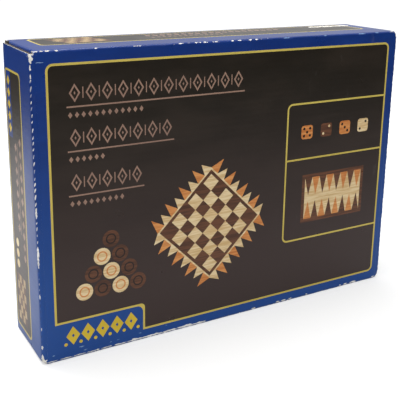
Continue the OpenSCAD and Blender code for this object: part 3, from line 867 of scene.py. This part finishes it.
# Rubbed spots on the front, as (x, height, length, width)
FLECKS = [(-110.6, 4.4, 1.4, 0.8), (-95.0, 5.6, 3.2, 0.7), (-93.0, 3.2, 2.4, 0.6), (-78.2, 3.8, 1.8, 0.5),
          (-73.7, 4.0, 2.0, 0.5), (-60.6, 4.6, 2.2, 0.6), (-44.0, 5.2, 1.4, 0.5), (-111.9, 160.2, 4.2, 0.5)]

# White patches on the top near its back, as (x, length, width), and how far that is from the cut edge at its
# back
TOP_WHITE_PATCHES = [(82.0, 11.0, 5.0), (92.0, 14.0, 7.0), (103.5, 15.0, 6.0)]
TOP_WHITE_PATCH_S = 2.2 * TOP_BORDER

# Chips on the left upright fold, as (height, length, width). The right fold has them upside down.
CORNER_CHIPS = [(3.4, 6.5, 2.8), (10.5, 2.6, 1.4), (21.0, 2.2, 0.8), (39.5, 3.0, 1.0), (57.5, 4.5, 1.5),
                (63.0, 9.0, 2.0), (85.0, 6.0, 1.4), (153.5, 2.4, 1.3), (158.0, 3.2, 1.6), (162.8, 5.5, 3.4)]


# -------------------- the printed sheets

# Usual spacing of a sheet's mesh
GRID = 3.2


def side_name(side):
    return "right" if side > 0 else "left"


def sleeve():
    """The four panels round the case. The top one ends at the back one, whose cut edge shows."""
    section = [(HALF_D, HEIGHT), (-HALF_D, HEIGHT), (-HALF_D, 0), (HALF_D, 0), (HALF_D, HEIGHT)]
    fold = Fold(section, FOLD_R)
    fold_1, fold_2, fold_3, end = fold.starts[1:]
    start = BOARD + SEAM
    lip = HALF_W - END_STRIP
    crease = PANEL_END - CREASE_STRIP
    notch = [(PANEL_END + NOTCH_R * math.cos(a), fold_3 + HEIGHT / 2 + NOTCH_R * math.sin(a))
             for a in np.linspace(-math.pi / 2, -3 * math.pi / 2, 25)]

    def step(x, s0, s1):
        """The right edge from s0 to s1, where the sheet of a flap takes over at x."""
        return [(PANEL_END, s0), (x, s0), (x, s1), (PANEL_END, s1)]

    right = [(PANEL_END, start)] + step(crease, HALF_D - DUST_Y[1], HALF_D - DUST_Y[0])
    right += step(lip, fold_1 + DROP, fold_2 - DROP)
    right += step(crease, fold_2 + HALF_D + DUST_Y[0], fold_2 + HALF_D + DUST_Y[1])
    right += notch + [(PANEL_END, end)]
    outline = right + [(-x, s) for x, s in reversed(right)]

    art = [(ink, [(x, fold_1 + HEIGHT - z) for x, z in polygon]) for ink, polygon in front_art()]
    art += top_art()
    art += framed(-FRAME_X, fold_2 + HALF_D - FRAME_FRONT, FRAME_X, fold_2 + HALF_D + 20.0)
    art += framed(-FRAME_X, fold_3 + BACK_BORDER, FRAME_X, end - BACK_BORDER)
    art += [(ink, [(x, fold_3 + z) for x, z in polygon]) for ink, polygon in back_art()]
    art += wear_marks(fold_1, fold_2)
    near_folds = [(f - 3, f + 3, 0.4) for f in (fold_1, fold_2, fold_3)]
    ends = [(-PANEL_END + 0.2, -PANEL_END + 3, 0.7), (PANEL_END - 3, PANEL_END - 0.2, 0.7)]
    piece = sheet_piece(
        "printed_sleeve", fold, lambda u, p: (u, p[0], p[1]), outline, art,
        ticks(-HALF_W, HALF_W, GRID, ends), ticks(0, end, GRID, near_folds), True,
    )
    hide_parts("carton_sleeve")
    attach(piece, "root")


def top_art():
    """What the top shows, as (ink, polygon in x and s). The front fold is at s = 2 * HALF_D."""
    art = framed(-FRAME_X, TOP_BORDER, FRAME_X, HALF_D + FRAME_FRONT)
    art += tilted_chequer(-97.0, HALF_D - 14.5, 31.0, 18.0)
    art += [("copper", lozenge(-38 + i * 4.6, HALF_D - 12.0, 1.7, 3.2)) for i in range(20)]
    art += [("copper", lozenge(-38 + i * 3.4, HALF_D - 4.6, 1.1, 1.7)) for i in range(14)]
    return art


def wear_marks(top_fold, bottom_fold):
    """The chips, rubs, cracks and white patches that have places of their own, on the front and the top."""
    art = [chip(x, top_fold + 0.1, length, 0.9 + 0.12 * length) for x, length in TOP_CHIPS]
    art += [chip(x, top_fold + 0.1, length, 1.0, "rubbed") for x, length in TOP_RUBS]
    art += [chip(x, bottom_fold - 1.25, length, 0.9 + 0.06 * length) for x, length in BOTTOM_CHIPS]
    art += [chip(x, bottom_fold - 1.2, *CRACK_SLIVER) for x in np.linspace(*CRACK)]
    art += [chip(x, bottom_fold - z, length, width, "rubbed") for x, z, length, width in FLECKS]
    # Paper-white patches on the top, near its back
    art += [chip(x, TOP_WHITE_PATCH_S, length, width) for x, length, width in TOP_WHITE_PATCHES]
    return art


def framed(x0, s0, x1, s1):
    """A dark field with a keyline, on one panel of the sheet."""
    outer = rounded(rect(x0, s0, x1, s1), [CORNER] * 4)
    inner = rounded(rect(x0 + LINE, s0 + LINE, x1 - LINE, s1 - LINE), [CORNER - LINE / 2] * 4)
    return [("line", outer), ("field", inner)]


def tilted_chequer(x, s, width, depth):
    """A small chequer seen aslant, as on the top panel."""
    cols, rows, lean = 6, 4, 0.45
    da, db = width / cols, depth / rows
    art = []
    for i in range(cols):
        for j in range(rows):
            a, b = i * width / cols, j * depth / rows
            corners = rect(a, b, a + da, b + db)
            cell = [(x + u * 0.82 + v * lean, s + v - 0.12 * u) for u, v in corners]
            art.append(("oak" if (i + j) % 2 else "walnut", cell))
    return art


def end_art(s0):
    """What an end shows, as (ink, polygon in z and s). s0 is the middle of the end."""
    cell_z, cell_s = 4.6, 3.7
    disc_pitch, row_pitch, gold_pitch = 6.2, 6.4, 6.3
    art = framed(5.5, s0 - 7.0, 152.5, s0 + 20.0)
    for i in range(6):
        for j in range(4):
            z, s = 10.5 + i * cell_z, s0 + 0.6 + j * cell_s
            art.append(("oak" if (i + j) % 2 else "walnut", rect(z, s, z + cell_z, s + cell_s)))
    art += [("cream", disc(44.5 + i * disc_pitch, s0 + 12.0, 2.5, 14)) for i in range(3)]
    for s, z0, count in ((s0 - 1.4, 52.0, 11), (s0 + 6.6, 67.0, 8)):
        art += [("copper", lozenge(z0 + i * row_pitch, s, 2.5, 2.1)) for i in range(count)]
        art.append(("copper", rect(z0 - 3.0, s - 3.6, z0 + count * row_pitch - 3.4, s - 3.0)))
    art.append(("blue", rect(116.0, s0 + 10.6, 151.2, s0 + 18.7)))
    art += [("gold", lozenge(121.0 + i * gold_pitch, s0 + 14.6, 2.8, 2.6)) for i in range(5)]
    return art


def end_flap(side):
    """An end of the carton with its fold from the front panel."""
    name = side_name(side)
    start = HALF_W - END_STRIP
    stop = TUCK_Y - CREASE_STRIP
    fold = Fold([(side * start, -HALF_D), (side * HALF_W, -HALF_D), (side * HALF_W, stop)], FOLD_R)
    s0 = END_STRIP + HALF_D
    z0, z1 = DROP, HEIGHT - DROP
    outline = rect(z0, 0, z1, fold.starts[-1])
    art = end_art(s0)
    for z, length, width in CORNER_CHIPS:
        art.append(chip(z if side < 0 else HEIGHT - z, END_STRIP, length, width))
    piece = sheet_piece(
        f"printed_{name}_end", fold, lambda u, p: (p[0], p[1], u), outline, art,
        ticks(z0, z1, 0.85), ticks(0, fold.starts[-1], GRID, [(0.4, END_STRIP + 2.4, 0.35)]), False,
    )
    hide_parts(f"{name}_end_flap")
    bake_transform(piece)


def tuck_flap(side):
    """The tongue that goes in behind the back panel, with its fold from the end flap."""
    name = side_name(side)
    corner = np.array([side * HALF_W, TUCK_Y])
    tip = corner + TUCK_LEN * np.array([-side * math.cos(TUCK_LEAN), -math.sin(TUCK_LEAN)])
    fold = Fold([corner - np.array([0, CREASE_STRIP]), corner, tip], CREASE_R)
    length = fold.starts[-1]
    low, high = TUCK_INSET, HEIGHT - TUCK_INSET
    step = CREASE_STRIP * 0.8
    outline = rounded(
        [(DROP, 0), (HEIGHT - DROP, 0), (HEIGHT - DROP, step), (high, CREASE_STRIP),
         (high - TUCK_TAPER, length), (low + TUCK_TAPER, length), (low, CREASE_STRIP), (DROP, step)],
        [0, 0, 0, 0, TUCK_R, TUCK_R, 0, 0])
    piece = sheet_piece(
        f"printed_{name}_tuck", fold, lambda u, p: (p[0], p[1], u), outline, [],
        ticks(DROP, HEIGHT - DROP, GRID), ticks(0, length, 2.6, [(0.3, CREASE_STRIP + 1.2, 0.3)]), False,
    )
    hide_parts(f"{name}_tuck_flap")
    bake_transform(piece)


def dust_flap(side, top):
    """A flap inside the end, with its fold from the top or bottom panel."""
    name = side_name(side) + ("_top" if top else "_bottom")
    level = HEIGHT if top else 0
    away = -1 if top else 1
    corner = np.array([side * PANEL_END, level])
    tip = corner + np.array([0, away * DUST_LEN])
    fold = Fold([corner - np.array([side * CREASE_STRIP, 0]), corner, tip], CREASE_R)
    length = fold.starts[-1]
    y0, y1 = DUST_Y
    slant = y0 + (DUST_LEN - DUST_STEP) / DUST_SLOPE
    outline = rounded(
        [(y0, 0), (y1, 0), (y1, length), (slant, length), (y0, CREASE_STRIP + DUST_STEP)],
        [0, 0, DUST_R, 1.0, 0])
    piece = sheet_piece(
        f"printed_{name}_dust", fold, lambda u, p: (p[0], u, p[1]), outline, [],
        ticks(y0, y1, 3.0), ticks(0, length, 3.0, [(0.3, CREASE_STRIP + 1.2, 0.3)]), False,
    )
    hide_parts(f"{name}_dust_flap")
    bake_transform(piece)


# -------------------- case and pieces


def wood(name, light, dark, grain, rough=0.42, along="x"):
    """Oiled wood with growth bands and pores that run along one axis."""
    n = Nodes(name)
    coord = n.coord()
    stretch = {"x": (0.08, 1, 1), "z": (1, 1, 0.08)}[along]
    run = n.scaled(coord, stretch)
    drift = n.noise(run, grain * 0.35, 3)
    bands = n.noise(run, grain, 5, 0.6)
    lines = n.math("SINE", n.math("MULTIPLY_ADD", drift, 26.0, n.math("MULTIPLY", bands, 14.0)))
    tone = n.ramp(n.math("MULTIPLY_ADD", lines, 0.08, bands), 0.25, 0.75)
    color = n.mix(tone, dark, light)
    pores = n.ramp(n.noise(n.scaled(coord, tuple(v * 3 for v in stretch)), grain * 3, 2), 0.3, 0.42, 1, 0)
    color = n.mix(n.math("MULTIPLY", pores, 0.35), color, tuple(v * 0.4 for v in dark[:3]) + (1,))
    gloss = n.math("MULTIPLY_ADD", tone, -0.1, rough + 0.08)
    normal = n.bump(n.math("MULTIPLY_ADD", pores, -0.6, tone), 0.08 * MM, 0.5)
    return n.surface(color, gloss, normal)


def metal(name, tone, rough):
    """Rolled metal with fine scratches and faint tarnish."""
    n = Nodes(name)
    coord = n.coord()
    tarnish = n.noise(coord, 300, 3)
    color = n.mix(n.ramp(tarnish, 0.4, 0.75, 0, 0.4), tone, tuple(v * 0.6 for v in tone[:3]) + (1,))
    scratch = n.noise(n.scaled(coord, (0.05, 1, 1)), 4000, 2)
    gloss = n.math("MULTIPLY_ADD", scratch, 0.2, rough)
    return n.surface(color, gloss, n.bump(scratch, 0.02 * MM, 0.4), Metallic=1.0)


def die_plastic():
    n = Nodes("die_ivory")
    coord = n.coord()
    cloud = n.noise(coord, 120, 3)
    color = n.mix(cloud, rgb(226, 214, 184), rgb(240, 232, 210))
    return n.surface(color, n.math("MULTIPLY_ADD", cloud, 0.08, 0.18), n.bump(cloud, 0.02 * MM, 0.3))


def leaflet_paper():
    n = Nodes("leaflet_paper")
    coord = n.coord()
    fibre = n.noise(coord, 1200, 4, 0.7)
    color = n.mix(fibre, rgb(226, 223, 214), rgb(240, 238, 232))
    return n.surface(color, 0.85, n.bump(fibre, 0.04 * MM, 0.5))


def dress_case():
    """Gives every CAD node that shows its own finish."""
    walnut = (rgb(122, 80, 54), rgb(84, 52, 34), 260)
    upright_walnut = wood("walnut_upright", *walnut, along="z")
    finishes = {
        "birch": wood("birch", rgb(214, 184, 138), rgb(188, 154, 108), 120),
        "maple": wood("maple", rgb(228, 200, 150), rgb(206, 174, 120), 130),
        "rosewood": wood("rosewood", rgb(96, 54, 36), rgb(52, 28, 20), 190),
        "walnut": wood("walnut_along", *walnut),
        "boxwood": wood("boxwood", rgb(222, 180, 112), rgb(196, 150, 84), 220, 0.3, "z"),
        "ebony": wood("ebony", rgb(64, 44, 34), rgb(36, 24, 20), 240, 0.28, "z"),
        "hinge_brass": metal("hinge_brass", rgb(214, 170, 92), 0.22),
        "magnet_steel": metal("magnet_steel", rgb(190, 192, 194), 0.25),
        "die_plastic": die_plastic(),
        "leaflet_paper": leaflet_paper(),
        "inside_board": glue_board(),
        "printed_board": INKS["blue"],
    }
    for entry in frame["record"]["subparts"]:
        node = frame["nodes"][entry["node"]]
        finish = finishes[entry["material_slot"]]
        if entry["node"].endswith(("left_rail", "right_rail")):
            finish = upright_walnut
        node.data.materials.clear()
        node.data.materials.append(finish)


def glue_board():
    """The glue flap's liner, which has no sheet attributes of its own."""
    n = Nodes("glue_flap_board")
    coord = n.coord()
    fibre = n.noise(n.scaled(coord, (0.25, 1, 1)), 900, 4, 0.7)
    color = n.mix(fibre, LINER_DARK, LINER_LIGHT)
    return n.surface(color, 0.9, n.bump(fibre, 0.1 * MM, 0.6))


# -------------------- stage, light and camera

AMBIENT = 0.58
FLOOR_TONE = 0.5
FLOOR_SIZE = 6

# The floor's own light, under the carton's shadow and far from it
GLOW_NEAR, GLOW_FAR = 0.5, 0.75

# Middle of the paper on the floor, and how far from it gloss sees the whole and a tenth of it
PAPER_X = 0.2
PAPER_WHOLE, PAPER_TENTH = 0.25, 0.95


def floor():
    """A white floor that keeps the carton's shadow.

    Glossy print sees white paper that fades out to the sides, and by half towards the front.
    """
    n = Nodes("floor_white")

    def distance(a, b):
        return n.math("SQRT", n.math("ADD", n.math("MULTIPLY", a, a), n.math("MULTIPLY", b, b)))

    path = n.new("ShaderNodeLightPath").outputs
    x, y, _ = n.axes(n.coord())
    off = distance(n.math("SUBTRACT", x, PAPER_X), y)
    fade = n.ramp(off, PAPER_WHOLE, PAPER_TENTH, 1.0, 0.1)
    paper = n.math("MULTIPLY", fade, n.ramp(y, -0.25, 0.0, 0.5, 1.0))
    shown = n.math("MAXIMUM", n.math("SUBTRACT", 1.0, path["Is Glossy Ray"]), paper)
    tone = n.mix(shown, (0, 0, 0, 1), (FLOOR_TONE, FLOOR_TONE, FLOOR_TONE, 1))
    diffuse = n.new("ShaderNodeBsdfDiffuse")
    n.plug(diffuse.inputs["Color"], tone)
    glow = n.new("ShaderNodeEmission")
    clear = n.math("MAXIMUM", path["Is Camera Ray"], path["Is Transmission Ray"])
    strength = n.ramp(distance(x, y), 0.12, 0.75, GLOW_NEAR, GLOW_FAR)
    n.plug(glow.inputs["Strength"], n.math("MULTIPLY", clear, strength))
    both = n.new("ShaderNodeAddShader")
    n.plug(both.inputs[0], diffuse.outputs[0])
    n.plug(both.inputs[1], glow.outputs[0])
    n.plug(n.out.inputs[0], both.outputs[0])
    bm = bmesh.new()
    bmesh.ops.create_grid(bm, x_segments=2, y_segments=2, size=FLOOR_SIZE)
    plane = new_object("floor")
    bm.to_mesh(plane.data)
    bm.free()
    plane.data.materials.append(n.material)


def world():
    """White for the camera and through glass. Gloss reflects a studio that is bright overhead
    and behind the object to the right, and dark towards the camera.
    """
    n = Nodes("studio", sky=True)
    path = n.new("ShaderNodeLightPath").outputs
    x, y, z = n.axes(n.coord("Generated"))
    behind = n.ramp(y, -0.1, 0.6)
    right = n.math("MULTIPLY", n.ramp(x, -0.3, 0.9, 0.24, 0.7), behind)
    overhead = n.ramp(z, 0.2, 0.85, 0.03, 0.75)
    gloss = n.math("MAXIMUM", right, overhead)
    change = n.math("MULTIPLY", path["Is Glossy Ray"], n.math("SUBTRACT", gloss, AMBIENT))
    level = n.math("ADD", change, AMBIENT)
    clear = n.math("MAXIMUM", path["Is Camera Ray"], path["Is Transmission Ray"])
    back = n.new("ShaderNodeBackground")
    back.inputs["Color"].default_value = (1, 1, 1, 1)
    n.plug(back.inputs["Strength"], n.math("MAXIMUM", level, clear))
    n.plug(n.out.inputs[0], back.outputs[0])
    bpy.context.scene.world = n.material


def softbox(name, place, aim, size, power):
    """A rectangular lamp that points from its place at its aim. Lengths are in metres."""
    light = bpy.data.lights.new(name, "AREA")
    light.shape = "RECTANGLE"
    light.size, light.size_y = size
    light.energy = power
    obj = bpy.data.objects.new(name, light)
    obj.location = place
    obj.rotation_euler = (Vector(aim) - Vector(place)).to_track_quat("-Z", "Y").to_euler()
    bpy.context.scene.collection.objects.link(obj)
    return obj


def lights():
    """Two large softboxes, and a small lamp for the floor that the left end reflects."""
    softbox("overhead", (-0.1, 0.2, 1.3), (0, 0, 0.1), (1.2, 1.0), 16)
    softbox("front", (-0.7, -1.4, 1.1), (0, 0, 0.08), (1.0, 0.8), 8)
    floor_lamp = softbox("behind_left", (-0.25, 0.3, 0.3), (-0.25, 0.3, 0), (0.2, 0.2), 1.3)
    floor_lamp.visible_glossy = False


def camera():
    """The photograph's view: azimuth, elevation and roll in degrees, from the fitted corners."""
    azimuth, elevation, roll = math.radians(29.71), math.radians(14.58), math.radians(0.84)
    focal_px, image_px, centre_row = 731.9, 400, 140
    data = bpy.data.cameras.new("camera")
    data.sensor_width = 36
    data.lens = 36 * focal_px / image_px
    data.shift_y = (centre_row - image_px / 2) / image_px
    obj = bpy.data.objects.new("camera", data)
    obj.location = (-0.2161, -0.3613, 0.2132)
    obj.rotation_mode = "QUATERNION"
    look = Euler((math.pi / 2 - elevation, 0, -azimuth), "XYZ").to_quaternion()
    obj.rotation_quaternion = look @ Euler((0, 0, roll), "XYZ").to_quaternion()
    bpy.context.scene.collection.objects.link(obj)
    bpy.context.scene.camera = obj


camera()
make_inks()
dress_case()
sleeve()
for end in (-1, 1):
    end_flap(end)
    tuck_flap(end)
    dust_flap(end, True)
    dust_flap(end, False)
floor()
world()
lights()
bpy.context.scene.view_settings.view_transform = "Standard"
